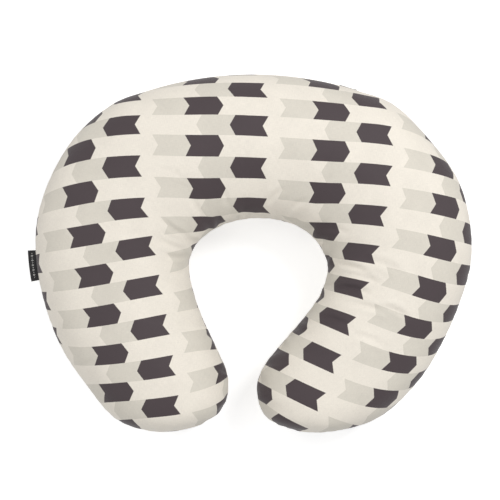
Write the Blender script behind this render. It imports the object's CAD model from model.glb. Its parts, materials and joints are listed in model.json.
"""Looks of the nursing pillow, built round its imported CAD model. Metres, +Z up, back of the C at +Y."""
import json
import math

import bmesh
import bpy
import numpy as np
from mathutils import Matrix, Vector


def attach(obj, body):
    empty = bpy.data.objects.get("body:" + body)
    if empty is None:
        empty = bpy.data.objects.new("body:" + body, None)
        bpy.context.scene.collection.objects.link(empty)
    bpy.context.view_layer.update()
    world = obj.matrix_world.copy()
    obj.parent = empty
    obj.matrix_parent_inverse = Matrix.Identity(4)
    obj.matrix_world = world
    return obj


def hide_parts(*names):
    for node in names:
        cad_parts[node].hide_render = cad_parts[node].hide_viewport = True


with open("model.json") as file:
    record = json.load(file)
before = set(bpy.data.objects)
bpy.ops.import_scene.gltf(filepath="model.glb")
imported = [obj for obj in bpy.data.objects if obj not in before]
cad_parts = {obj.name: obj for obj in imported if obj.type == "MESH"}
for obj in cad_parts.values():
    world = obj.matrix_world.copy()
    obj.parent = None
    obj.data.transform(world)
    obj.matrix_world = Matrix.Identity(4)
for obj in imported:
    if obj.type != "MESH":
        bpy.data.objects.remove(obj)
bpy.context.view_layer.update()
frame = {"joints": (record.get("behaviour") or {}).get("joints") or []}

# ---- camera
CAMERA_PLACE = (0.0005, 0.0041, 2.058)
CAMERA_LENS_MM = 112.5
CAMERA_FILM_MM = 36

camera = bpy.data.objects.new("camera", bpy.data.cameras.new("camera"))
camera.data.lens = CAMERA_LENS_MM
camera.data.sensor_width = CAMERA_FILM_MM
camera.location = CAMERA_PLACE
bpy.context.collection.objects.link(camera)
bpy.context.scene.camera = camera
bpy.context.scene.view_settings.view_transform = "Standard"

# ---- shape of the pillow
MM = 0.001
JOINTS = {joint["name"]: joint for joint in frame["joints"]}
ARC_CENTRE = np.array(JOINTS["zip_travel"]["pos_m"][:2])  # of the back seam, which the zip follows
SEAM_Z = JOINTS["zip_travel"]["pos_m"][2]
ARC_RADIUS = 0.443
CROWN = 0.066
BELLY = 0.064
FULL_HALF_WIDTH = 0.092
SECTION_POWER = 2.2
BACK_STEP = 6  # degrees between the cross-sections of the back

# Ends of the cross-sections in millimetres: outer x, outer y, inner x, inner y.
LEFT_TIP = (-88, -225)
LEFT_ARM = [
    (-129, -228, -53, -212),
    (-177, -211, -35, -190),
    (-216, -165, -33, -157),
    (-246, -119, -48, -120),
    (-266, -66, -65, -83),
    (-277, -8, -78, -42),
    (-275, 46, -81, -12),
    (-257, 100, -72, 10),
    (-225, 151, -56, 25),
]
RIGHT_TIP = (70, -229)
RIGHT_ARM = [
    (131, -222, 19, -211),
    (174, -202, 6, -176),
    (215, -160, 15, -146),
    (242, -116, 41, -113),
    (264, -66, 68, -81),
    (279, -12, 88, -51),
    (277, 44, 96, -18),
    (260, 98, 86, 8),
    (222, 149, 72, 24),
]
WAIST = {"x": 8, "y": -18, "half_width": 89, "half_depth": 62}
WAIST_TURN = 1.4
BACK_CENTRE_MM = np.array([0, 227.5 - ARC_RADIUS / MM])


def back_section(angle):
    a, b = math.radians(angle), math.radians(angle * WAIST_TURN)
    radius = ARC_RADIUS / MM
    return (
        radius * math.sin(a),
        BACK_CENTRE_MM[1] + radius * math.cos(a),
        WAIST["x"] + WAIST["half_width"] * math.sin(b),
        WAIST["y"] + WAIST["half_depth"] * math.cos(b),
    )


def seam_controls():
    """The seam line's control points in metres: left tip, outside, right tip, and back inside."""
    back = [back_section(step * BACK_STEP) for step in range(-4, 5)]
    rows = np.array(LEFT_ARM + back + RIGHT_ARM[::-1])
    points = np.concatenate([[LEFT_TIP], rows[:, :2], [RIGHT_TIP], rows[::-1, 2:]])
    return (points - BACK_CENTRE_MM) * MM + ARC_CENTRE, len(rows) + 1


CONTROLS, LAST = seam_controls()
BACK_MIDDLE = LAST / 2


def unit(vectors):
    """The vectors at length 1."""
    return vectors / np.maximum(np.linalg.norm(vectors, axis=-1, keepdims=True), 1e-12)


def between(a, b, c, d, f):
    """The smooth curve through four even values, at f of the way from b to c."""
    return b + 0.5 * f * (c - a + f * (2 * a - 5 * b + 4 * c - d + f * (3 * (b - c) + d - a)))


def seam_point(count, inset=0.0):
    """Points of the seam line at these counts, moved inwards. Negative counts are on the inside."""
    count = np.mod(np.asarray(count, float), len(CONTROLS))
    whole = np.floor(count).astype(int)
    f = (count - whole)[..., None]
    a, b, c, d = [CONTROLS[(whole + k) % len(CONTROLS)] for k in (-1, 0, 1, 2)]
    slope = unit(c - a + 2 * f * (2 * a - 5 * b + 4 * c - d) + 3 * f**2 * (3 * (b - c) + d - a))
    inwards = np.stack([slope[..., 1], -slope[..., 0]], axis=-1)
    return between(a, b, c, d, f) + inwards * inset


def sections(counts, side_inset=0.0, height_inset=0.0):
    """Middles, half chords and heights of the cross-sections at these counts."""
    outer = seam_point(counts, side_inset)
    inner = seam_point(-np.asarray(counts), side_inset)
    half = (outer - inner) / 2
    width = np.linalg.norm(half, axis=-1)
    fullness = np.sin(np.pi / 2 * np.minimum(1, width / FULL_HALF_WIDTH))
    return {
        "middle": (outer + inner) / 2,
        "half": half,
        "crown": (CROWN - height_inset) * fullness,
        "belly": (BELLY - height_inset) * fullness,
        "floor": SEAM_Z - height_inset,
    }


def rounded(wave, power):
    """A sine or cosine bent towards a square wave, the more the smaller the power."""
    return np.sign(wave) * np.abs(wave) ** power


def squared_circle(sides, power):
    """Both coordinates of points round a circle that is bent towards a square."""
    turn = np.linspace(0, 2 * np.pi, sides, endpoint=False)
    return rounded(np.cos(turn), power), rounded(np.sin(turn), power)


def spread_of(angle):
    return rounded(np.cos(angle), 2 / SECTION_POWER)


def soft_floor(depth, floor, softness=0.004):
    """depth, held back smoothly where it would pass the floor."""
    over = (depth - floor) / softness
    return depth - softness * np.logaddexp(0, over)


def shell_points(counts, angles, **inset):
    """Points of a layer, by ring and angle: 0 outer seam, pi/2 crown, pi inner seam; negative below."""
    s = sections(counts, **inset)
    spread, rise = spread_of(angles), np.sin(angles)
    flat = s["middle"][:, None] + s["half"][:, None] * spread[None, :, None]
    up = s["crown"][:, None] * np.maximum(rise, 0)
    down = soft_floor(s["belly"][:, None] * np.maximum(-rise, 0), s["floor"])
    return np.concatenate([flat, (SEAM_Z + up - np.where(rise < 0, down, 0))[..., None]], axis=-1)


def run_length(points, axis=0):
    """Length along lines of points, from each line's first point."""
    steps = np.linalg.norm(np.diff(points, axis=axis), axis=-1)
    start = np.zeros_like(np.take(steps, [0], axis=axis))
    return np.concatenate([start, np.cumsum(steps, axis=axis)], axis=axis)


def read_line(x, known, columns):
    """Each column read at x, where known says at which x its rows are."""
    return np.stack([np.interp(x, known, column) for column in columns.T], axis=-1)


def even_counts(step):
    """Counts of rings about step apart, halfway between the outer and the inner seam's spacing."""
    fine = np.linspace(0, LAST, 2801)
    length = (run_length(seam_point(fine)) + run_length(seam_point(-fine))) / 2
    return np.interp(np.linspace(0, length[-1], int(round(length[-1] / step)) + 1), length, fine)


def even_angles(steps):
    """Angles that cut a full cross-section's upper half into equal lengths."""
    fine = np.linspace(0, np.pi, 2001)
    length = run_length(np.stack([FULL_HALF_WIDTH * spread_of(fine), CROWN * np.sin(fine)], axis=-1))
    return np.interp(np.linspace(0, length[-1], steps + 1), length, fine)


# ---- print on the cloth
# How the cloth lies over the stuffing, at counts along the pillow: degrees that its rows turn,
PRINT_TURN = [(0, 4.5), (2.5, 7), (5, 11), (7.5, 10), (10, -0.5), (12, 0.5), (14, -2.5), (16, -4),
              (18, -3), (20.5, -9.5), (23, -21.5), (25.5, -22), (28, -28.5)]
# and at wider steps: stretch along and across, then how rows bow and crowd across the pillow.
PRINT_LIE = {
    "counts": (0, 4, 9, 14, 19, 24, 28),
    "along": (1.14, 1.01, 1.02, 1.00, 1.02, 1.02, 0.98),
    "across": (0.91, 1.02, 0.92, 0.97, 0.97, 1.03, 0.95),
    "bow": (-0.9, -0.3, -0.1, 0.2, -0.1, 1.1, 1.4),  # per metre
    "crowd": (-1.6, 0.5, 0.0, 0.2, 0.4, 0.7, 2.2),  # per metre
    "twist": (30, -8, 1, 11, 3, 11, 10),  # per square metre
}
PRINT_START = np.array([0.07334, 0.01628])
REPEAT = 0.1571  # from one dark arrow to the next along a row
ROW = 0.02551
DARK_RIGHT = 0.0411  # length of the dark arrows that point right, and left
DARK_LEFT = 0.0401
LEFT_OFFSET = 0.0621
ARROW_TIP = 0.0070
UNDERSIDE_SHIFT = np.array([0.031, 0.0127])


def print_lie(key, counts):
    return np.interp(counts, PRINT_LIE["counts"], PRINT_LIE[key])


def cloth_frame():
    """Along the middle line: its place on the flat cloth, and the directions along and across."""
    fine = np.linspace(0.02, LAST - 0.02, 1400)
    s = sections(fine)
    middle, half = s["middle"], s["half"]
    run = np.gradient(middle, fine, axis=0)
    turn = np.radians(np.interp(fine, *zip(*PRINT_TURN)))
    heading = np.unwrap(np.arctan2(run[:, 1], run[:, 0])) - turn
    across = np.unwrap(np.arctan2(half[:, 1], half[:, 0])) - turn
    speed = np.linalg.norm(run, axis=1) * print_lie("along", fine)
    place = np.zeros_like(middle)
    for axis, wave in enumerate((np.cos, np.sin)):
        rate = speed * wave(heading)
        place[1:, axis] = np.cumsum((rate[1:] + rate[:-1]) / 2 * np.diff(fine))
    return fine, place + read_line(BACK_MIDDLE, fine, middle - place), heading, across


def flat_cloth(counts, across_length, side):
    """Where each point lies on the flat cloth, from its distance across, outwards from the middle."""
    fine, place, heading, across = cloth_frame()
    at = read_line(counts, fine, place)
    heading = np.interp(counts, fine, heading)[:, None]
    across = np.interp(counts, fine, across)[:, None]
    reach = across_length * (print_lie("across", counts)[:, None]
                             + print_lie("crowd", counts)[:, None] * across_length)
    slip = across_length**2 * (print_lie("bow", counts)[:, None]
                               + print_lie("twist", counts)[:, None] * across_length)
    u = at[:, :1] + np.cos(across) * reach + np.cos(heading) * slip
    v = at[:, 1:] + np.sin(across) * reach + np.sin(heading) * slip
    place = np.stack([u, v], axis=-1) - SHIFT - PRINT_START
    return place if side > 0 else (place - UNDERSIDE_SHIFT) * (-1, 1)


def across_lengths(points):
    """Signed length along each ring from its highest place, positive towards the outer seam."""
    length = run_length(points, axis=1)
    middle = (points.shape[1] - 1) // 2
    return length[:, middle:middle + 1] - length


# ---- mesh helpers
def add_object(name, data):
    piece = bpy.data.objects.new(name, data)
    bpy.context.collection.objects.link(piece)
    return piece


def new_object(name, vertices, faces):
    mesh = bpy.data.meshes.new(name)
    mesh.from_pydata([tuple(v) for v in vertices], [], faces)
    mesh.update()
    return add_object(name, mesh)


def object_from(name, bm):
    mesh = bpy.data.meshes.new(name)
    bm.to_mesh(mesh)
    bm.free()
    return add_object(name, mesh)


def shade_smooth(piece):
    piece.data.polygons.foreach_set("use_smooth", [True] * len(piece.data.polygons))


def set_uv(piece, name, per_vertex):
    layer = piece.data.uv_layers.new(name=name)
    loops = np.zeros(len(piece.data.loops), int)
    piece.data.loops.foreach_get("vertex_index", loops)
    layer.data.foreach_set("uv", np.asarray(per_vertex, float)[loops].ravel())


def tidy_faces(faces):
    """Faces without the corners that repeat, and without those that have shrunk to a line."""
    kept = []
    for face in faces:
        corners = [c for i, c in enumerate(face) if c != face[i - 1]]
        if len(set(corners)) == len(corners) >= 3:
            kept.append(corners)
    return kept


def ring_numbers(points, tips):
    """A number for each point of the rings. With tips, each end ring is one point."""
    number = np.arange(points.shape[0] * points.shape[1]).reshape(points.shape[:2])
    if tips:
        number[0], number[-1] = number[0, 0], number[-1, 0]
    return number


def grid_faces(number, closed_ring):
    size = number.shape[1]
    return [[number[i, k], number[i + 1, k], number[i + 1, (k + 1) % size], number[i, (k + 1) % size]]
            for i in range(len(number) - 1) for k in range(size if closed_ring else size - 1)]


def numbered_mesh(name, points, faces):
    """An object of the points that the faces use, facing outwards, and those points' numbers."""
    faces = tidy_faces(faces)
    used = np.unique([corner for face in faces for corner in face])
    renumber = dict(zip(used.tolist(), range(len(used))))
    piece = new_object(name, points[used], [[renumber[int(corner)] for corner in face] for face in faces])
    outwards(piece)
    return piece, used


def loft(name, rings, uvs=None, closed_ring=True, tips=False):
    """A mesh through rings of points. With tips, each end ring's equal points are one vertex."""
    rings = np.asarray(rings, float)
    number = ring_numbers(rings, tips)
    faces = grid_faces(number, closed_ring)
    if closed_ring and not tips:
        faces += [list(number[0]), list(number[-1, ::-1])]
    piece, used = numbered_mesh(name, rings.reshape(-1, 3), faces)
    if uvs is not None:
        set_uv(piece, "print", np.asarray(uvs).reshape(-1, 2)[used])
    shade_smooth(piece)
    return piece


def panel(name, side, points, places=None):
    """One panel of a case, from its outer to its inner seam, with its face up (1) or down (-1)."""
    points[0], points[-1] = points[0, 0], points[-1, 0]
    piece = loft(name, points, places, closed_ring=False, tips=True)
    if sum(p.normal.z for p in piece.data.polygons) * side < 0:
        piece.data.flip_normals()
    return piece


def thicken(piece, thickness, offset=-1.0, even_corners=False):
    solid = piece.modifiers.new("cloth", "SOLIDIFY")
    solid.thickness, solid.offset, solid.use_quality_normals = thickness, offset, even_corners


def outwards(piece):
    bm = bmesh.new()
    bm.from_mesh(piece.data)
    bmesh.ops.recalc_face_normals(bm, faces=bm.faces)
    if bm.calc_volume(signed=True) < 0:
        bmesh.ops.reverse_faces(bm, faces=bm.faces)
    bm.to_mesh(piece.data)
    bm.free()


def join_meshes(name, parts):
    bm = bmesh.new()
    for part in parts:
        bm.from_mesh(part.data)
        bpy.data.meshes.remove(part.data)
    return object_from(name, bm)


def subdivide(piece):
    modifier = piece.modifiers.new("finish", "SUBSURF")
    modifier.levels = modifier.render_levels = 1


# ---- cloth simulation
SIM_STEP = 0.0050  # between the simulated rings, which have this many steps from seam to seam
SIM_AROUND = 50
FRAMES = 20
RING_STEP = 0.00248  # and the same for the finished cover
AROUND = 100
MOST_MOVED = 0.006
EASE_LEVELS = 20
CLOTH = {
    "quality": 5, "mass": 0.15, "tension_stiffness": 40, "compression_stiffness": 40,
    "shear_stiffness": 10, "bending_stiffness": 0.05, "use_pressure": True,
    "uniform_pressure_force": 4, "shrink_min": 0.0, "shrink_max": -0.15,
}
INNER_EASE = {"reach": 0.045, "most": 1.0}
OUTER_EASE = {"reach": 0.03, "most": 0.4}
BROAD_SHARE = 0.85  # of the broad movement, which is taken away again
BROAD_PASSES = 60
ABOVE_FLOOR = 0.0004

# The seams and the slit over the zip, which is open to SLIT_ANGLE degrees and shut at SLIT_END.
SEAM_GAP = 0.0002
SLIT_GAP = 0.005
SLIT_ANGLE, SLIT_END = 18, 21
LABEL_COUNTS = (5.53, 6.2)  # where the side label is held, and how far it parts the seam
LABEL_GAP = 0.0006
SEAM_TUCK = 0.0024
TUCK_REACH = 0.0028
TUCK_ROOM = 0.03  # where the way from seam to seam is shorter, the tuck is smaller
NEAR_SEAM = [0, 0.2, 0.45, 0.7]  # extra rows beside a seam, as parts of the first step
CLOTH_THICKNESS = 0.0006


def skin_angles(around):
    """Angles of the rows of a closed skin: over the crown to the inner seam, and back below."""
    upper = even_angles(around)
    return np.concatenate([upper, -upper[1:-1][::-1]])


def seam_distances(points, around):
    """Each point's distance along its ring from the outer seam and from the inner seam."""
    length = run_length(np.concatenate([points, points[:, :1]], axis=1), axis=1)
    length, whole = length[:, :-1], length[:, -1:]
    return np.minimum(length, whole - length), np.abs(length - length[:, around:around + 1])


def blurred(field, times):
    """A field over rings and rows, smoothed by repeated averaging. The rows close on themselves."""
    for _ in range(times):
        inner = (field[:-2] + 2 * field[1:-1] + field[2:]) / 4
        field = np.concatenate([field[:1], inner, field[-1:]])
        field = (np.roll(field, 1, axis=1) + 2 * field + np.roll(field, -1, axis=1)) / 4
    return field


def simulate(points, ease):
    """The cover filled out by pressure, as Cloth. ease is how much spare cloth each point has, 0 to 1."""
    number = ring_numbers(points, True)
    skin, used = numbered_mesh("cloth_skin", points.reshape(-1, 3), grid_faces(number, True))
    group = skin.vertex_groups.new(name="ease")
    weights = np.round(ease.reshape(-1)[used] * EASE_LEVELS)
    for level in range(EASE_LEVELS + 1):
        members = np.nonzero(weights == level)[0]
        if len(members):
            group.add([int(m) for m in members], level / EASE_LEVELS, "REPLACE")
    cloth = skin.modifiers.new("cloth", "CLOTH")
    for key, value in CLOTH.items():
        setattr(cloth.settings, key, value)
    cloth.settings.vertex_group_shrink = "ease"
    cloth.settings.effector_weights.gravity = 0
    cloth.point_cache.frame_start, cloth.point_cache.frame_end = 1, FRAMES
    for step in range(1, FRAMES + 1):
        bpy.context.scene.frame_set(step)
    done = skin.evaluated_get(bpy.context.evaluated_depsgraph_get())
    moved = np.zeros(len(done.data.vertices) * 3)
    done.data.vertices.foreach_get("co", moved)
    bpy.context.scene.frame_set(1)
    bpy.data.meshes.remove(skin.data)
    return moved.reshape(-1, 3)[np.searchsorted(used, number)]


def filled_out():
    """How far pressure moves the cover's skin, on the simulation's coarse grid."""
    counts = even_counts(SIM_STEP)
    start = shell_points(counts, skin_angles(SIM_AROUND))
    ease = sum(kind["most"] * np.exp(-((distance / kind["reach"]) ** 2)) for kind, distance
               in zip((OUTER_EASE, INNER_EASE), seam_distances(start, SIM_AROUND)))
    moved = simulate(start + gathers(counts, start, SIM_AROUND), np.minimum(1, ease)) - start
    moved -= BROAD_SHARE * blurred(moved, BROAD_PASSES)
    size = np.linalg.norm(moved, axis=-1, keepdims=True)
    return counts, moved * np.minimum(1, MOST_MOVED / np.maximum(size, 1e-9))


# Gathers: short folds that spread from a seam. Spacing, depth, reach and width in metres, lowest
# and highest, and how much they lean.
INNER_GATHERS = {"seed": 11, "spacing": 0.0085, "depth": (0.0003, 0.0013), "reach": (0.012, 0.050),
                 "width": (0.0030, 0.0050), "lean": 0.5}
OUTER_GATHERS = {"seed": 23, "spacing": 0.0080, "depth": (0.0001, 0.0005), "reach": (0.006, 0.020),
                 "width": (0.0026, 0.0040), "lean": 0.3}
GATHER_GROWTH = ((0.004, 0.013), (0.3, 1.0))  # share of the depth at these distances from the seam
GATHER_SPREAD = 0.08  # distance in which a fold's width doubles
FULL_GATHERS = 0.08  # where the way from seam to seam is shorter, the folds are lower


def normals(points):
    across = np.roll(points, -1, axis=1) - np.roll(points, 1, axis=1)
    normal = unit(np.cross(np.gradient(points, axis=0), across))
    outwards_share = ((points - points.mean(axis=1, keepdims=True)) * normal).sum(axis=-1).mean()
    return normal * np.sign(outwards_share)


def fold(q):
    """A fold's section: a furrow between two low ridges."""
    return -np.exp(-(q**2)) + 0.45 * np.exp(-((np.abs(q) - 1.8) ** 2))


def gather_row(kind, length, distance, upper):
    """Height of one seam's gathers. length is along the seam, distance away from it."""
    random = np.random.default_rng(kind["seed"])
    height = np.zeros(distance.shape)
    for side in (True, False):
        for k in range(int(length[-1] / kind["spacing"])):
            place = (k + random.uniform(0.1, 0.9)) * kind["spacing"]
            depth, reach, width = [random.uniform(*kind[key]) for key in ("depth", "reach", "width")]
            lean = random.uniform(-1, 1) * kind["lean"]
            q = (length[:, None] - place - lean * distance) / (width * (1 + distance / GATHER_SPREAD))
            height += (upper == side) * depth * fold(q) * np.exp(-((distance / reach) ** 1.5))
    return height * np.interp(distance, *GATHER_GROWTH)


def gathers(counts, points, around):
    """Moves of the skin's points by the gathers along both seams."""
    to_outer, to_inner = seam_distances(points, around)
    upper = np.arange(points.shape[1])[None, :] <= around
    height = gather_row(INNER_GATHERS, run_length(seam_point(-counts)), to_inner, upper)
    height += gather_row(OUTER_GATHERS, run_length(seam_point(counts)), to_outer, upper)
    size = np.minimum(1, to_outer.max(axis=1, keepdims=True) / FULL_GATHERS)
    return normals(points) * (height * size)[..., None]


# Creases that cross the upper side, in millimetres: from, to, depth, half width.
CREASES = [
    ((98, -12), (148, -28), 2.8, 3.2),
    ((116, -26), (160, -39), 2.3, 3.0),
    ((103, -43), (148, -51), 3.0, 3.0),
    ((110, -62), (180, -81), 1.8, 3.4),
    ((156, -65), (196, -82), 2.4, 3.4),
    ((84, -80), (122, -92), 2.3, 3.0),
    ((134, -7), (188, -26), 1.4, 4.5),
    ((122, -100), (168, -118), 1.1, 4.0),
    ((20, 60), (37, 80), 2.0, 3.4),
    ((44, 52), (66, 66), 1.4, 3.4),
    ((84, 30), (122, 24), 1.2, 3.6),
    ((-80, 20), (-114, 42), 2.0, 3.4),
    ((-82, 4), (-120, 18), 1.5, 3.4),
    ((-80, -6), (-110, -3), 2.2, 3.0),
    ((-76, -22), (-108, -26), 1.2, 3.2),
    ((-60, 40), (-76, 72), 1.4, 3.6),
    ((-30, 56), (-36, 84), 1.2, 3.6),
    ((-222, -150), (-196, -132), 1.1, 4.0),
    ((206, 120), (232, 92), 1.1, 4.5),
]
CREASE_BEND = 0.06  # of a crease's length
SHIFT = ARC_CENTRE - BACK_CENTRE_MM * MM


def crease_drop(points):
    """How far the creases press each point of the upper side down."""
    drop = np.zeros(points.shape[:2])
    for start, end, depth, half_width in CREASES:
        a, b = np.array(start) * MM + SHIFT, np.array(end) * MM + SHIFT
        run = b - a
        place = ((points[..., :2] - a) @ run) / (run @ run)
        arch = np.sin(np.pi * np.clip(place, 0, 1))
        length = np.linalg.norm(run)
        beside = (points[..., 0] - a[0]) * -run[1] + (points[..., 1] - a[1]) * run[0]
        off = (beside / length - CREASE_BEND * length * arch) / (half_width * MM)
        drop -= depth * MM * arch ** 0.8 * fold(off)
    return drop * (points[..., 2] > SEAM_Z)


def read_between(field, rows):
    """A field over rings read between its rings, by a smooth curve."""
    last = len(field) - 1
    whole = np.clip(np.floor(rows).astype(int), 0, last - 1)
    f = (rows - whole)[:, None, None]
    return between(*[field[np.clip(whole + k, 0, last)] for k in (-1, 0, 1, 2)], f)


def still_by_zip(counts, points):
    """0 beside the zip, whose tapes keep the cloth smooth, and 1 away from it."""
    angle = np.abs(counts - BACK_MIDDLE)[:, None] * BACK_STEP
    along = np.clip((SLIT_END + 3 - angle) / 3, 0, 1)
    outer = np.arange(points.shape[1])[None, :]
    outer = np.minimum(outer, points.shape[1] - outer) < AROUND / 2
    near = np.clip((0.030 - np.abs(points[..., 2] - SEAM_Z)) / 0.016, 0, 1) * outer
    return 1 - along * near


def cover_skin():
    """The cover as rings of one closed skin, filled out and creased."""
    counts = even_counts(RING_STEP)
    plain = shell_points(counts, skin_angles(AROUND))
    moved = gathers(counts, plain, AROUND)
    moved[..., 2] -= crease_drop(plain)
    coarse_counts, coarse = filled_out()
    rows = np.interp(counts, coarse_counts, np.arange(len(coarse_counts)))
    coarse = read_between(coarse, rows)
    t = np.broadcast_to(np.arange(2 * AROUND) * SIM_AROUND / AROUND, plain.shape[:2])
    moved += ring_at(coarse, t)
    points = plain + moved * still_by_zip(counts, plain)[..., None]
    points[..., 2] = np.maximum(points[..., 2], ABOVE_FLOOR)
    return counts, plain, points


def ring_at(values, t):
    """values, rings by rows closed on themselves, read between the rows at t by a smooth curve."""
    size = values.shape[1]
    whole = np.floor(t).astype(int)
    f = (t - whole)[..., None]
    rows = np.arange(len(values))[:, None]
    return between(*[values[rows, (whole + k) % size] for k in (-1, 0, 1, 2)], f)


def rows_at(values, t):
    """Rows of one panel read between their places at t."""
    whole = np.clip(np.floor(t).astype(int), 0, values.shape[1] - 2)
    rows = np.arange(len(values))[:, None]
    return values[rows, whole] + (t - whole) * (values[rows, whole + 1] - values[rows, whole])


def edge_gap(counts):
    """Half the width of the opening between the two panels along the outer seam."""
    angle = np.abs(counts - BACK_MIDDLE) * BACK_STEP
    gap = np.interp(angle, [SLIT_ANGLE, SLIT_END], [SLIT_GAP, SEAM_GAP])
    a, b = LABEL_COUNTS
    label = np.interp(counts, [a - 0.15, a - 0.02, b + 0.02, b + 0.15], [0, 1, 1, 0])
    return np.maximum(gap, SEAM_GAP + label * (LABEL_GAP - SEAM_GAP))


def panel_grid(side, counts, skin):
    """Points and flat-cloth places of one panel of the cover, from its outer to its inner seam."""
    last = float(AROUND)
    near = np.array(NEAR_SEAM)
    base = np.concatenate([near, np.arange(1, AROUND), (last - near)[::-1]])
    first = np.linalg.norm(skin[:, 1] - skin[:, 0], axis=-1)
    gap = edge_gap(counts)
    start = np.minimum(gap / np.maximum(first, 1e-5), 3)[:, None]
    t = start + base[None, :] * (last - start) / last
    points = ring_at(skin, t if side > 0 else 2 * last - t)

    length = run_length(points, axis=1)
    room = np.minimum(1, length[:, -1:] / TUCK_ROOM)
    for distance, edge in ((length, counts), (length[:, -1:] - length, -counts)):
        tuck = SEAM_TUCK * np.clip(1 - distance / TUCK_REACH, 0, 1) ** 2
        inwards = seam_point(edge, 1.0) - seam_point(edge)
        points[..., :2] += inwards[:, None] * (tuck * room)[..., None]
    points[:, 0, 2] = SEAM_Z + side * np.minimum(gap, length[:, -1] / 4)
    points[:, -1, 2] = SEAM_Z + side * SEAM_GAP

    plain = shell_points(counts, side * even_angles(AROUND))
    places = flat_cloth(counts, rows_at(across_lengths(plain), t), side)
    return points, places


def cover_panel(name, side, counts, skin):
    points, places = panel_grid(side, counts, skin)
    piece = panel(name, side, points, places)
    thicken(piece, CLOTH_THICKNESS, even_corners=True)
    return piece, points


# ---- materials
class Nodes:
    """A material's nodes, made by short calls. Values may be numbers or other nodes' outputs."""

    def __init__(self, name):
        self.material = bpy.data.materials.new(name)
        self.material.use_nodes = True
        self.tree = self.material.node_tree
        self.shader = next(n for n in self.tree.nodes if n.type == "BSDF_PRINCIPLED")

    def node(self, kind, inputs=None, **settings):
        made = self.tree.nodes.new(kind)
        for key, value in settings.items():
            setattr(made, key, value)
        for key, value in (inputs or {}).items():
            self.feed(made.inputs[key], value)
        return made

    def feed(self, socket, value):
        if isinstance(value, bpy.types.NodeSocket):
            self.tree.links.new(value, socket)
        else:
            socket.default_value = value

    def math(self, operation, *values):
        made = self.node("ShaderNodeMath", operation=operation)
        for k, value in enumerate(values):
            self.feed(made.inputs[k], value)
        return made.outputs[0]

    def add(self, a, b):
        return self.math("ADD", a, b)

    def sub(self, a, b):
        return self.math("SUBTRACT", a, b)

    def mul(self, a, b):
        return self.math("MULTIPLY", a, b)

    def mix(self, factor, a, b):
        made = self.node("ShaderNodeMix", data_type="RGBA")
        self.feed(made.inputs["Factor"], factor)
        for key, value in (("A", a), ("B", b)):
            socket = next(i for i in made.inputs if i.name == key and i.type == "RGBA")
            self.feed(socket, value)
        return next(o for o in made.outputs if o.type == "RGBA")

    def noise(self, vector, scale, detail=2.0, roughness=0.5):
        return self.node("ShaderNodeTexNoise", {"Vector": vector, "Scale": scale, "Detail": detail,
                                                "Roughness": roughness}).outputs["Fac"]

    def stretched(self, place, scale):
        return self.node("ShaderNodeMapping", {"Vector": place, "Scale": scale}).outputs[0]

    def ramp(self, value, low, high, to_low=0.0, to_high=1.0):
        return self.node("ShaderNodeMapRange", {"Value": value, "From Min": low, "From Max": high,
                                                "To Min": to_low, "To Max": to_high}).outputs[0]

    def object_place(self):
        return self.node("ShaderNodeTexCoord").outputs["Object"]

    def uv(self, name):
        place = self.node("ShaderNodeUVMap", uv_map=name).outputs[0]
        return place, self.node("ShaderNodeSeparateXYZ", {"Vector": place}).outputs

    def bump(self, height, distance, strength=1.0, over=None):
        made = self.node("ShaderNodeBump", {"Height": height, "Distance": distance, "Strength": strength})
        if over is not None:
            self.feed(made.inputs["Normal"], over)
        return made.outputs[0]

    def finish(self, color, roughness, normal=None, **uniform):
        """Colour, roughness and normal may be other nodes' outputs. The rest are plain values."""
        for key, value in (("Base Color", color), ("Roughness", roughness), ("Normal", normal)):
            if value is not None:
                self.feed(self.shader.inputs[key], value)
        for key, value in uniform.items():
            self.shader.inputs[key.replace("_", " ")].default_value = value
        return self.material


def srgb(red, green, blue):
    """A colour from its 0-255 display values, as linear light."""
    def linear(value):
        value /= 255
        return value / 12.92 if value <= 0.04045 else ((value + 0.055) / 1.055) ** 2.4
    return (linear(red), linear(green), linear(blue), 1.0)


def weave_height(n, u, v, pitch):
    """Height of a plain weave: threads pass over and under each other, in two directions."""
    warp, weft = [n.math("ABSOLUTE", n.math("SINE", n.mul(k, 2 * math.pi / pitch))) for k in (u, v)]
    over = n.mul(*[n.math("SINE", n.mul(k, math.pi / pitch)) for k in (u, v)])
    return n.add(n.mul(n.add(warp, weft), 0.5), n.mul(over, 0.5))


STREAK_LENGTH = 14  # threads


def thread_streaks(n, place, pitch):
    """Uneven yarn: faint streaks along both directions of the cloth."""
    fine, coarse = 1 / pitch, 1 / (pitch * STREAK_LENGTH)
    parts = [n.noise(n.stretched(place, scale), 1.0, 1.0) for scale in ((coarse, fine, 1), (fine, coarse, 1))]
    return n.mul(n.add(*parts), 0.5)


CREAM = srgb(232, 225, 213)
PALE = srgb(213, 207, 195)
DARK = srgb(68, 57, 60)
THREAD_PITCH = 0.00042
PRINT_BLUR = 0.00025
PRINT_WANDER = 0.00009


def chevron_masks(n, u, v):
    """Where the print has its dark arrows and its pale ones."""
    row = n.math("DIVIDE", v, ROW)
    odd = n.math("FLOORED_MODULO", n.math("FLOOR", row), 2.0)
    off_middle = n.math("ABSOLUTE", n.sub(n.mul(n.math("FRACT", row), 2.0), 1.0))
    tip = n.mul(n.sub(1.0, off_middle), ARROW_TIP)
    facing = n.sub(1.0, n.mul(odd, 2.0))
    along = n.sub(n.sub(u, n.mul(tip, facing)), n.mul(odd, LEFT_OFFSET))
    x = n.math("FLOORED_MODULO", along, REPEAT)
    dark_length = n.add(DARK_RIGHT, n.mul(odd, DARK_LEFT - DARK_RIGHT))
    pale_start = REPEAT - (DARK_RIGHT + DARK_LEFT) / 2
    return (n.ramp(n.sub(x, dark_length), PRINT_BLUR, -PRINT_BLUR),
            n.ramp(x, pale_start - PRINT_BLUR, pale_start + PRINT_BLUR))


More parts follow.
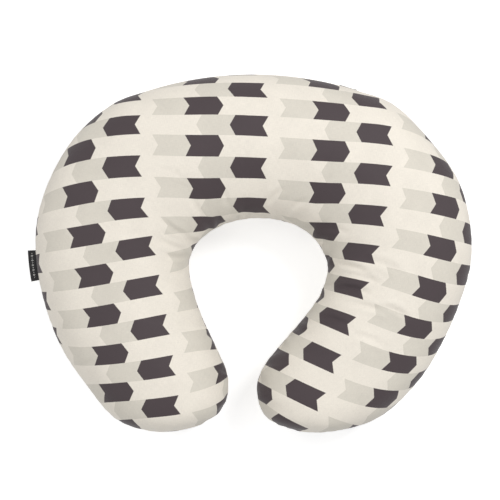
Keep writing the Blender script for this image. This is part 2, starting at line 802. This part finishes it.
def printed_cotton():
    n = Nodes("printed_cotton")
    place, (u, v, _) = n.uv("print")
    wander = n.ramp(n.noise(place, 900.0, 1.0), 0.3, 0.7, -PRINT_WANDER, PRINT_WANDER)
    dark, pale = chevron_masks(n, n.add(u, wander), n.add(v, wander))
    streaks = thread_streaks(n, place, THREAD_PITCH)
    blotches = n.noise(place, 30.0, 3.0)
    color = n.mix(dark, n.mix(pale, CREAM, PALE), DARK)
    tone = n.ramp(n.add(streaks, n.mul(blotches, 0.35)), 0.45, 0.9, 0.90, 1.08)
    color = n.node("ShaderNodeVectorMath", {"Vector": color, "Scale": tone},
                   operation="SCALE").outputs[0]
    weave = weave_height(n, u, v, THREAD_PITCH)
    bump = n.bump(weave, 0.00006, 0.6)
    bump = n.bump(n.noise(place, 160.0, 3.0), 0.0006, 0.35, over=bump)
    roughness = n.ramp(streaks, 0.3, 0.7, 0.58, 0.70)
    return n.finish(color, roughness, bump, Sheen_Weight=0.18, Sheen_Roughness=0.45,
                    Specular_IOR_Level=0.45)


def plain_cloth(name, color, pitch, dip, sheen=0.2, rough=0.85, uv=None, spread=0.05):
    """Plain woven cloth of one colour, with uneven yarn."""
    n = Nodes(name)
    if uv:
        place, (u, v, _) = n.uv(uv)
    else:
        place = n.object_place()
        u, v, _ = n.node("ShaderNodeSeparateXYZ", {"Vector": place}).outputs
    streaks = thread_streaks(n, place, pitch)
    low = tuple(c * (1 - spread) for c in color[:3]) + (1,)
    high = tuple(min(1, c * (1 + spread)) for c in color[:3]) + (1,)
    tone = n.mix(n.ramp(streaks, 0.35, 0.65), low, high)
    bump = n.bump(weave_height(n, u, v, pitch), dip, 0.8)
    roughness = n.ramp(streaks, 0.3, 0.7, rough - 0.06, rough + 0.06)
    return n.finish(tone, roughness, bump, Sheen_Weight=sheen, Sheen_Roughness=0.4)


def fibre():
    n = Nodes("polyester_fibre")
    place = n.object_place()
    bent = n.node("ShaderNodeVectorMath", {0: place, 1: n.node(
        "ShaderNodeTexNoise", {"Vector": place, "Scale": 90.0}).outputs["Color"]}, operation="ADD").outputs[0]
    strands = n.noise(n.stretched(bent, (60, 900, 400)), 1.0, 4.0, 0.7)
    tone = n.mix(n.ramp(strands, 0.3, 0.7), srgb(226, 226, 224), srgb(250, 250, 249))
    return n.finish(tone, n.ramp(strands, 0.3, 0.7, 0.75, 0.95), n.bump(strands, 0.0012, 0.9),
                    Sheen_Weight=0.4, Sheen_Roughness=0.5)


MOTIF = {"step": 0.0031, "reach": 0.0013, "smaller_by": 0.0006, "squash": 0.8, "hole": 0.45,
         "middle": 0.02, "half_band": 0.0165}


def black_label():
    """Woven black ribbon, with a band of diamonds, large and small in turn, along its middle."""
    n = Nodes("black_label")
    place, (u, v, _) = n.uv("print")
    cell = n.math("DIVIDE", u, MOTIF["step"])
    number = n.math("FLOORED_MODULO", n.math("FLOOR", cell), 2.0)
    x = n.math("ABSOLUTE", n.mul(n.sub(n.math("FRACT", cell), 0.5), MOTIF["step"]))
    reach = n.sub(MOTIF["reach"], n.mul(number, MOTIF["smaller_by"]))
    diamond = n.add(x, n.mul(n.math("ABSOLUTE", v), MOTIF["squash"]))
    ring = n.mul(n.math("LESS_THAN", diamond, reach),
                 n.math("GREATER_THAN", diamond, n.mul(reach, MOTIF["hole"])))
    off_middle = n.math("ABSOLUTE", n.sub(u, MOTIF["middle"]))
    motif = n.mul(ring, n.math("LESS_THAN", off_middle, MOTIF["half_band"]))
    weave = weave_height(n, u, v, 0.0003)
    black = n.mix(n.noise(place, 1500.0, 2.0), srgb(14, 13, 14), srgb(30, 28, 30))
    color = n.mix(motif, black, srgb(205, 203, 200))
    bump = n.bump(n.add(weave, n.mul(motif, 1.5)), 0.00008, 0.8)
    return n.finish(color, n.ramp(weave, -0.5, 1.5, 0.62, 0.5), bump, Sheen_Weight=0.1,
                    Sheen_Roughness=0.3)


def nylon():
    n = Nodes("zip_coil")
    place = n.object_place()
    cloud = n.noise(place, 700.0, 2.0)
    tone = n.mix(cloud, srgb(226, 219, 206), srgb(240, 235, 224))
    return n.finish(tone, n.ramp(cloud, 0.3, 0.7, 0.28, 0.42), n.bump(cloud, 0.00004, 0.4),
                    Subsurface_Weight=0.1, Subsurface_Scale=0.001)


def nickel():
    n = Nodes("zip_metal")
    place = n.object_place()
    brushed = n.noise(n.stretched(place, (900, 9000, 9000)), 1.0, 2.0)
    cloud = n.noise(place, 500.0, 3.0)
    tone = n.mix(cloud, srgb(176, 174, 170), srgb(205, 204, 201))
    roughness = n.ramp(n.add(n.mul(brushed, 0.6), n.mul(cloud, 0.4)), 0.3, 0.7, 0.22, 0.38)
    return n.finish(tone, roughness, n.bump(brushed, 0.00001, 0.5), Metallic=1.0)


def woven_tape():
    """Zip tape: cream, with fine ribs along it, closer at its edges."""
    n = Nodes("zip_tape")
    place, (u, v, _) = n.uv("print")
    ribs = n.math("SINE", n.mul(v, 2 * math.pi / 0.0009))
    twill = n.math("SINE", n.mul(n.add(u, v), 2 * math.pi / 0.0006))
    height = n.add(ribs, n.mul(twill, 0.5))
    tone = n.mix(n.ramp(height, -1.5, 1.5), srgb(219, 211, 197), srgb(238, 232, 220))
    return n.finish(tone, n.ramp(n.noise(place, 400.0), 0.3, 0.7, 0.7, 0.85),
                    n.bump(height, 0.00007, 0.8), Sheen_Weight=0.2, Sheen_Roughness=0.4)


def dress(piece, body, slot, material, *nodes):
    """A piece rides on its body, takes its slot and material, and stands for its CAD nodes."""
    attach(piece, body)
    if nodes:
        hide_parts(*nodes)
    piece.data.materials.clear()
    piece.data.materials.append(material)
    return piece


# ---- along the zip
def arc_points(angles, depth, height):
    """Points beside the back seam: degrees from the middle, depth inwards and height from the seam."""
    a = np.radians(angles)
    radius = ARC_RADIUS - np.asarray(depth, float)
    x, y = ARC_CENTRE[0] + radius * np.sin(a), ARC_CENTRE[1] + radius * np.cos(a)
    return np.stack(np.broadcast_arrays(x, y, SEAM_Z + np.asarray(height, float)), axis=-1)


def tube(line, first, second, radius, sides):
    """Rings round a line of points, in the plane of the directions first and second."""
    cos, sin = [wave[:, None] for wave in squared_circle(sides, 1)]
    ring = cos * np.atleast_2d(first)[:, None] + sin * np.atleast_2d(second)[:, None]
    return line[:, None] + np.reshape(radius, (-1, 1, 1)) * ring


DEGREE = math.radians(1) * ARC_RADIUS  # length of one degree of the back seam

TAPE = {"near": [(18.55, 0.0013), (19.6, 0.00015)], "far": 0.012, "front": 0.0031, "thickness": 0.0005,
        "rib": 0.00004, "bead": 0.00012, "angle": 21.6}
COIL = {"near": 0.00053, "far": 0.0024, "middle": 0.0022, "half_depth": 0.00037, "wire": 0.00031,
        "flatness": 0.7,
        "angle": 18.2, "pitch": 0.00145}
STOP = {"near": 0.0009, "far": 0.0027, "front": 0.0014, "thickness": 0.0015, "angle": 18.25,
        "length": 0.28}


def zip_tape(name, side):
    """A woven tape: a bead along the coil, a flat field and a selvedge, all a little ribbed."""
    angles = np.linspace(-TAPE["angle"], TAPE["angle"], 83)
    across = np.linspace(0, 1, 25)
    near = np.interp(np.abs(angles), *zip(*TAPE["near"]))[:, None]
    height = near + (TAPE["far"] - near) * across
    rib = TAPE["rib"] * (np.cos(2 * np.pi * across / 0.17) - 2)
    bead = np.exp(-((across - 0.04) / 0.05) ** 2) + 0.6 * np.exp(-((across - 0.97) / 0.04) ** 2)
    half = TAPE["thickness"] / 2 + rib + TAPE["bead"] * bead
    half[[0, -1]] *= 0.4
    middle = TAPE["front"] + TAPE["thickness"] / 2
    ring_height = np.concatenate([height, height[:, ::-1]], axis=1)
    ring_depth = np.concatenate([middle - half, (middle + half)[::-1]])
    rings = arc_points(angles[:, None], ring_depth[None, :], side * ring_height)
    places = np.stack(np.broadcast_arrays(angles[:, None] * DEGREE, ring_height), axis=-1)
    return loft(name, rings, places)


def zip_coil(name, side):
    """One row of the nylon coil: a wire wound round and round, flattened, with its heads at the middle."""
    turns, per_turn = int(2 * COIL["angle"] * DEGREE / COIL["pitch"]), 12
    tau = np.arange(turns * per_turn + 1) / per_turn + (0.5 if side < 0 else 0)
    phase = 2 * np.pi * tau
    middle, half = (COIL["near"] + COIL["far"]) / 2, (COIL["far"] - COIL["near"]) / 2
    height = side * (middle + half * rounded(np.cos(phase), COIL["flatness"]))
    depth = COIL["middle"] - COIL["half_depth"] * rounded(np.sin(phase), COIL["flatness"])
    angles = -COIL["angle"] + (tau + 0.08 * np.sin(2 * phase)) * COIL["pitch"] / DEGREE
    line = arc_points(angles, depth, height)
    run = unit(np.gradient(line, axis=0))
    first = unit(np.cross(run, arc_points(angles + 0.01, depth, height) - line))
    return loft(name, tube(line, first, np.cross(run, first), COIL["wire"], 6))


def crimped_stop(name, end, low, high):
    """A metal clamp pressed round the zip at one end (1 or -1): rounded, with two pressed grooves."""
    along = np.array([0, 0.06, 0.14, 0.26, 0.34, 0.42, 0.58, 0.66, 0.74, 0.86, 0.94, 1])
    size = np.array([0.7, 0.9, 1, 1, 0.86, 1, 1, 0.86, 1, 1, 0.9, 0.7])[:, None]
    across, out = squared_circle(24, 0.45)
    half = STOP["thickness"] / 2
    return loft(name, arc_points(
        end * (STOP["angle"] + STOP["length"] * along)[:, None],
        STOP["front"] + half + half * out * size,
        (low + high) / 2 + (high - low) / 2 * across * (0.5 + 0.5 * size),
    ))


STITCH = {"pitch": 0.0031, "length": 0.0024, "thread": 0.00019, "from_edge": 0.0034, "angle": 20.9}


def surface_beside_zip(points, side, counts, angle, height):
    """The place on a panel at this angle of the back and this height from the seam."""
    row = np.interp(BACK_MIDDLE + angle / BACK_STEP, counts, np.arange(len(counts)))
    f = row - int(row)
    line = points[int(row)] * (1 - f) + points[int(row) + 1] * f
    outer = line[len(NEAR_SEAM):AROUND // 2]
    outer = outer[np.argsort(side * outer[:, 2])]
    return read_line(height, side * (outer[:, 2] - SEAM_Z), outer)


def stitches(name, side, counts, points):
    """Topstitching round the slit: a row of short threads that dip into the cloth at their ends."""
    height = SLIT_GAP + STITCH["from_edge"]
    half = STITCH["length"] / 2 / DEGREE
    s = np.linspace(0, 1, 7)[:, None]
    swell = np.abs(np.sin(np.pi * s)) ** 0.5
    threads = []
    for k in range(int(2 * STITCH["angle"] * DEGREE / STITCH["pitch"])):
        middle = -STITCH["angle"] + (k + 0.5) * STITCH["pitch"] / DEGREE
        start, end, above = [surface_beside_zip(points, side, counts, *place) for place in
                             ((middle - half, height), (middle + half, height), (middle, height + MM))]
        run = unit(end - start)
        out = unit(np.cross(run, above - (start + end) / 2))
        out *= np.sign(out[:2] @ (start[:2] - ARC_CENTRE))
        line = start + (end - start) * s + out * STITCH["thread"] * (1.1 * swell - 0.6)
        radius = STITCH["thread"] * (0.55 + 0.45 * swell)
        threads.append(loft(f"{name}_{k}", tube(line, out, np.cross(run, out), radius, 8)))
    return join_meshes(name, threads)


# ---- slider and pull
# In the slider's own frame, in millimetres: x along the zip, y outwards from the seam, z across it.
SLIDER_ANGLE = 17.2
SLIDER_OUTLINE = {"nose": 3.9, "tail": 3.2, "half_length": 4.6}
SLIDER_FRONT = (-1.25, -0.35)
SLIDER_BACK = (-4.85, -4.0)
SLIDER_LIP = {"near": 3.1, "far": 3.7, "depth": -2.7, "nose": 2.4}
SLIDER_POST = (2.0, 3.6, 0.22)
SLIDER_GRAIN = 0.12
PULL_AXIS_Y = 0.4
BAIL = {"foot": 1.7, "half_thickness": 0.4, "half_height": 0.7, "top": 1.45, "shoulder": 0.8}
PULL = {"thickness": 0.8, "bar": 0.35, "window": 4.6, "side_bar": 1.1, "neck": 2.2, "end": 2.6,
        "length": 21, "bevel": 0.16, "corner": 0.5, "slot": (3.2, 0.95, -0.2)}


def slider_place(points):
    """Points of the slider's frame, in the model's."""
    a = math.radians(SLIDER_ANGLE)
    points = np.asarray(points, float) * MM
    along, out = np.array([math.cos(a), -math.sin(a)]), np.array([math.sin(a), math.cos(a)])
    origin = ARC_CENTRE + ARC_RADIUS * out
    flat = origin + points[..., :1] * along + points[..., 1:2] * out
    return np.concatenate([flat, points[..., 2:] + SEAM_Z], axis=-1)


def rounded_shield(steps=10):
    """Outline of the slider's plates, x and z, wide at the nose."""
    nose, tail, reach = (SLIDER_OUTLINE[k] for k in ("nose", "tail", "half_length"))
    upper = [(-reach, tail * 0.8), (-reach + 0.3, tail * 0.97), (-reach + 0.8, tail)]
    for k in range(steps + 1):
        t = k / steps
        a, b, c = np.array([reach * 0.3, nose]), np.array([reach, nose]), np.array([reach, nose * 0.3])
        upper.append(tuple((1 - t) ** 2 * a + 2 * t * (1 - t) * b + t * t * c))
    return np.array(upper + [(x, -z) for x, z in upper[::-1]])


def plate_rings(low, high, dome=0.0):
    """A plate with eased edges, a little domed on its outer face."""
    outline = rounded_shield()
    levels = [(low, 0.9), (low, 0.97), (low + 0.15, 1.0), (high - 0.2, 1.0), (high, 0.95), (high + dome, 0.7)]
    return [np.stack([outline[:, 0] * s, np.full(len(outline), y), outline[:, 1] * s], axis=-1)
            for y, s in levels]


def box_rings(x, y, z):
    """A block with eased edges, as rings along x."""
    across, over = squared_circle(20, 0.35)
    return [np.stack([np.full(20, x[0] + (x[1] - x[0]) * place),
                      (y[0] + y[1]) / 2 + (y[1] - y[0]) / 2 * across * s,
                      (z[0] + z[1]) / 2 + (z[1] - z[0]) / 2 * over * s], axis=-1)
            for place, s in ((0, 0.8), (0.08, 1), (0.92, 1), (1, 0.8))]


def bail_rings():
    """The arch on the slider's face that holds the pull."""
    foot, top, shoulder = BAIL["foot"], BAIL["top"], BAIL["shoulder"]
    a = np.pi * (1 - np.arange(1, 10) / 10)
    arch = np.stack([rounded(np.cos(a), 0.6) * foot, shoulder + (top - shoulder) * np.sin(a) ** 0.6], -1)
    leg = np.array([(foot, -0.7), (foot, 0.2), (foot, shoulder)])
    path = np.concatenate([leg * (-1, 1), arch, leg[::-1]])
    run = unit(np.gradient(path, axis=0))
    c, s = squared_circle(16, 0.5)
    c, s = c * BAIL["half_thickness"], s * BAIL["half_height"]
    return [np.stack([x - way[1] * c, y + way[0] * c, s], axis=-1) for (x, y), way in zip(path, run)]


def finished_mesh(piece):
    """A new mesh, as the piece's modifiers or its curve make it."""
    return bpy.data.meshes.new_from_object(piece.evaluated_get(bpy.context.evaluated_depsgraph_get()))


def bake_modifiers(piece):
    """The piece's own mesh becomes what its modifiers make of it."""
    done = finished_mesh(piece)
    old = piece.data
    piece.modifiers.clear()
    piece.data = done
    done.name = piece.name
    bpy.data.meshes.remove(old)
    return piece


def slider_body(name):
    """The cast slider: two plates, the post between them, the folded lips and the bail, as one casting."""
    lip = SLIDER_LIP
    shells = [
        plate_rings(*SLIDER_FRONT, dome=0.12),
        plate_rings(SLIDER_BACK[1], SLIDER_BACK[0], dome=-0.1),
        box_rings(SLIDER_POST[:2], (-4.3, -0.9), (-SLIDER_POST[2], SLIDER_POST[2])),
        box_rings((-4.5, lip["nose"]), (lip["depth"], -0.9), (lip["near"], lip["far"])),
        box_rings((-4.5, lip["nose"]), (lip["depth"], -0.9), (-lip["far"], -lip["near"])),
        bail_rings(),
    ]
    parts = [loft(f"{name}_{k}", slider_place(np.array(rings))) for k, rings in enumerate(shells)]
    piece = join_meshes(name, parts)
    remesh = piece.modifiers.new("cast", "REMESH")
    remesh.mode = "VOXEL"
    remesh.voxel_size = SLIDER_GRAIN * MM
    smooth = piece.modifiers.new("ease", "SMOOTH")
    smooth.factor = 0.5
    smooth.iterations = 3
    bake_modifiers(piece)
    shade_smooth(piece)
    return piece


def arc(x, radius, start, end, steps):
    """Points round a centre on the pull's long axis, between two angles in quarter turns."""
    turn = np.linspace(start, end, steps + 1) * math.pi / 2
    return [(x + radius * math.cos(a), radius * math.sin(a)) for a in turn]


def pull_tab(name):
    """The flat pull, with the window that the bail passes through, cut from sheet with eased edges."""
    bevel, bar, neck, window, corner = (PULL[k] for k in ("bevel", "bar", "neck", "window", "corner"))
    centre = -PULL["length"] + PULL["end"]
    far, half_slot, near = PULL["slot"]
    outer = [(bar, -neck + corner), (bar, neck - corner), (bar - corner, neck), (-window, neck),
             *arc(centre, PULL["end"], 1, 3, 16), (-window, -neck), (bar - corner, -neck)]
    inner = [(x, z) for x, z in zip((-bar, -window, -window, -bar), np.repeat((-1, 1), 2) * PULL["side_bar"])]
    slot = arc(centre + far, half_slot, -1, 1, 8) + arc(centre + near, half_slot, 1, 3, 8)
    curve = bpy.data.curves.new(name, "CURVE")
    curve.dimensions, curve.fill_mode = "2D", "BOTH"
    curve.extrude = PULL["thickness"] / 2 - bevel
    curve.bevel_depth, curve.offset, curve.bevel_resolution = bevel, -bevel, 3
    for points in (outer, inner, slot):
        spline = curve.splines.new("POLY")
        spline.points.add(len(points) - 1)
        for point, (x, z) in zip(spline.points, points):
            point.co = (x, z, 0, 1)
        spline.use_cyclic_u = True
    drawn = add_object(name + "_drawn", curve)
    mesh = finished_mesh(drawn)
    bpy.data.curves.remove(curve)
    bm = bmesh.new()
    bm.from_mesh(mesh)
    bpy.data.meshes.remove(mesh)
    bmesh.ops.remove_doubles(bm, verts=bm.verts, dist=0.002)
    flat = np.array([v.co for v in bm.verts])
    placed = slider_place(np.stack([flat[:, 0], flat[:, 2] + PULL_AXIS_Y, flat[:, 1]], axis=-1))
    for vertex, place in zip(bm.verts, placed):
        vertex.co = Vector(place)
    piece = object_from(name, bm)
    outwards(piece)
    return piece


# ---- labels
SIDE_LABEL = {"root": -0.0035, "reach": 0.0103, "half_gap": 0.00018, "ply": 0.00024,
              "flat": (0.028, 0.040)}


def side_label(name):
    """A folded woven ribbon held in the outer seam of the left arm, drooping a little."""
    along = np.linspace(0, 1, 33)
    counts = LABEL_COUNTS[0] + (LABEL_COUNTS[1] - LABEL_COUNTS[0]) * along
    out = np.concatenate([np.linspace(SIDE_LABEL["root"], SIDE_LABEL["reach"] - 0.0006, 12),
                          [SIDE_LABEL["reach"] - 0.0002, SIDE_LABEL["reach"]]])
    half = np.full(len(out), SIDE_LABEL["half_gap"])
    half[-4:] = [0.00028, 0.0003, 0.00022, 0.0]
    fold = np.concatenate([out, out[-2::-1]])
    gap = np.concatenate([half, -half[-2::-1]])
    rings, places = [], []
    length = SIDE_LABEL["flat"][1]
    for s, count in zip(along, counts):
        droop = -0.0011 * np.clip(fold / 0.01, 0, 1) ** 2 + 0.0004 * np.sin(5 * s + 150 * fold)
        flat = np.array([seam_point(count, -reach) for reach in fold])
        z = SEAM_Z + gap + droop * np.clip(fold / 0.004, 0, 1)
        rings.append(np.concatenate([flat, z[:, None]], axis=-1))
        places.append(np.stack([np.full(len(fold), s * length), fold - 0.0052], axis=-1))
    piece = loft(name, rings, places, closed_ring=False)
    thicken(piece, SIDE_LABEL["ply"], offset=0)
    return piece


CARE_LABEL = {"counts": (18.05, 18.45), "angles": (-4, -28), "side": 0.0028, "height": 0.0013,
              "size": (0.018, 0.028), "ply": 0.0003}


def care_label(name):
    """A blank satin label inside the cover, beside the zip."""
    counts = np.linspace(*CARE_LABEL["counts"], 17)
    angles = np.radians(np.linspace(*CARE_LABEL["angles"], 15))
    points = shell_points(counts, angles, side_inset=CARE_LABEL["side"], height_inset=CARE_LABEL["height"])
    width, length = CARE_LABEL["size"]
    places = np.stack(np.meshgrid(np.linspace(0, width, 17), np.linspace(0, length, 15), indexing="ij"), -1)
    piece = loft(name, points, places, closed_ring=False)
    thicken(piece, CARE_LABEL["ply"], offset=0)
    return piece


# ---- inner pillow
CASING = {"side": 0.0066, "height": 0.0026, "thickness": 0.0006, "seam": 0.0004}
FILL = {"side": 0.0096, "height": 0.0056}
COARSER = 4  # the inner layers use every fourth ring and row of the cover
LUMP = 0.0016


def inner_rings(counts, shift, side, height):
    """A layer inside the cover, moved as far inwards as the cover's own creases go."""
    points = shell_points(counts, skin_angles(AROUND), side_inset=side, height_inset=height)
    inwards = unit(points.mean(axis=1, keepdims=True) - points)
    return points + inwards * np.maximum((shift * inwards).sum(axis=-1, keepdims=True), 0)


def casing_panel(name, side, rings):
    lower = np.concatenate([rings[:, :1], rings[:, :AROUND - 1:-1]], axis=1)
    points = (rings[:, :AROUND + 1] if side > 0 else lower)[::COARSER, ::COARSER].copy()
    points[:, 0, 2] = points[:, -1, 2] = SEAM_Z + side * CASING["seam"]
    piece = panel(name, side, points)
    subdivide(piece)
    thicken(piece, CASING["thickness"])
    return piece


def lumpy_fill(name, rings):
    """The stuffing: soft lumps of fibre that press against the casing."""
    points = rings[::COARSER, ::COARSER].copy()
    inwards = points.mean(axis=1, keepdims=True) - points
    reach = np.linalg.norm(inwards, axis=-1)
    x, y, z = (points[..., k] for k in range(3))
    lump = (np.sin(160 * x + 2 * np.sin(70 * y)) + np.sin(145 * y + 2 * np.sin(90 * x + 60 * z))
            + np.sin(190 * z + 100 * x)) / 3
    points += unit(inwards) * (LUMP * (1 + lump) * np.minimum(1, reach / 0.02))[..., None]
    points[0], points[-1] = points[0, 0], points[-1, 0]
    piece = loft(name, points, tips=True)
    subdivide(piece)
    return piece


# ---- build
counts, plain_skin, skin = cover_skin()
sunk = skin - plain_skin

cotton = printed_cotton()
cover_top, top_points = cover_panel("cover_top", 1, counts, skin)
cover_bottom, bottom_points = cover_panel("cover_bottom", -1, counts, skin)
dress(cover_top, "pillow", "printed_cotton", cotton, "cover_top_panel")
dress(cover_bottom, "pillow", "printed_cotton", cotton, "cover_bottom_panel")

casing_cotton = plain_cloth("casing_cotton", srgb(240, 238, 232), 0.0005, 0.00008)
casing_rings = inner_rings(counts, sunk, CASING["side"], CASING["height"])
casings = [dress(casing_panel(f"casing_{name}", side, casing_rings), "pillow", "casing_cotton",
                 casing_cotton, f"casing_{name}_panel") for name, side in (("top", 1), ("bottom", -1))]
fill = lumpy_fill("fibre_stuffing", inner_rings(counts, sunk, FILL["side"], FILL["height"]))
dress(fill, "pillow", "polyester_fibre", fibre(), "fibre_fill")

label = dress(side_label("folded_side_label"), "pillow", "black_label", black_label(), "side_label")
satin = plain_cloth("white_label", srgb(246, 245, 243), 0.00025, 0.00003, sheen=0.5, rough=0.45, uv="print")
care = dress(care_label("satin_care_label"), "pillow", "white_label", satin, "care_label")

tape_material, coil_material, metal = woven_tape(), nylon(), nickel()
thread = plain_cloth("stitch_thread", srgb(236, 230, 219), 0.0004, 0.00006)
for name, side, points in (("upper", 1, top_points), ("lower", -1, bottom_points)):
    dress(zip_tape(f"woven_tape_{name}", side), "pillow", "zip_tape", tape_material, f"zip_tape_{name}")
    dress(zip_coil(f"nylon_coil_{name}", side), "pillow", "zip_coil", coil_material, f"zip_teeth_{name}")
    low, high = sorted((side * STOP["near"], side * STOP["far"]))
    stop = crimped_stop(f"crimped_top_stop_{name}", 1, low, high)
    dress(stop, "pillow", "zip_metal", metal, f"zip_top_stop_{name}")
    dress(stitches(f"topstitching_{name}", side, counts, points), "pillow", "printed_cotton", thread)
stop = crimped_stop("crimped_bottom_stop", -1, -STOP["far"], STOP["far"])
dress(stop, "pillow", "zip_metal", metal, "zip_bottom_stop")
dress(slider_body("cast_slider"), "slider", "zip_metal", metal, "zip_slider")
dress(pull_tab("flat_pull"), "pull", "zip_metal", metal, "zip_pull_tab")

# ---- floor and light
FLOOR_SIZE = 3.0
FLOOR_DROP = 0.0005
FLOOR_GLOW = 0.45  # as the camera sees it, so that it is as white as the photo's background
FLOOR_BOUNCE = 0.65  # what reaches the pillow, which a real studio's floor lights less
SKY = 0.70
KEY = {"place": (1.35, 1.15, 2.0), "size": 0.8, "power": 27}
FILL_LIGHT = {"place": (-1.4, 0.2, 1.9), "size": 1.4, "power": 7}


def pale_floor():
    n = Nodes("pale_floor")
    grain = n.noise(n.object_place(), 40.0, 3.0)
    tone = n.mix(grain, srgb(238, 238, 238), srgb(243, 243, 243))
    material = n.finish(tone, n.ramp(grain, 0.3, 0.7, 0.85, 0.95), Emission_Color=(1, 1, 1, 1),
                        Emission_Strength=FLOOR_GLOW)
    seen = n.node("ShaderNodeLightPath").outputs["Is Camera Ray"]
    bounce = n.node("ShaderNodeEmission", {"Strength": FLOOR_BOUNCE}).outputs[0]
    above = n.node("ShaderNodeMixShader", {0: seen, 1: bounce, 2: n.shader.outputs[0]}).outputs[0]
    # Seen from below, the floor is clear, so that it doesn't hide the underside.
    below = n.node("ShaderNodeNewGeometry").outputs["Backfacing"]
    clear = n.node("ShaderNodeBsdfTransparent").outputs[0]
    both = n.node("ShaderNodeMixShader", {0: below, 1: above, 2: clear}).outputs[0]
    output = next(node for node in n.tree.nodes if node.type == "OUTPUT_MATERIAL")
    n.feed(output.inputs["Surface"], both)
    return material


def white_sky():
    """A world that lights the pillow at SKY and looks white to the camera."""
    world = bpy.data.worlds.new("studio")
    world.use_nodes = True
    nodes, links = world.node_tree.nodes, world.node_tree.links
    nodes["Background"].inputs["Color"].default_value = (1, 1, 1, 1)
    strength = nodes.new("ShaderNodeMapRange")
    strength.inputs["To Min"].default_value = SKY
    links.new(nodes.new("ShaderNodeLightPath").outputs["Is Camera Ray"], strength.inputs["Value"])
    links.new(strength.outputs[0], nodes["Background"].inputs["Strength"])
    return world


def area_light(name, place, size, power):
    lamp = bpy.data.lights.new(name, "AREA")
    lamp.size, lamp.energy = size, power
    lamp_object = add_object(name, lamp)
    lamp_object.location = place
    lamp_object.rotation_euler = (-Vector(place)).to_track_quat("-Z", "Y").to_euler()


corners = [(x * FLOOR_SIZE, y * FLOOR_SIZE, 0) for x, y in ((-1, -1), (1, -1), (1, 1), (-1, 1))]
floor = new_object("floor", corners, [(0, 1, 2, 3)])
floor.location.z = -FLOOR_DROP
floor.data.materials.append(pale_floor())
bpy.context.scene.world = white_sky()
area_light("key", **KEY)
area_light("fill", **FILL_LIGHT)
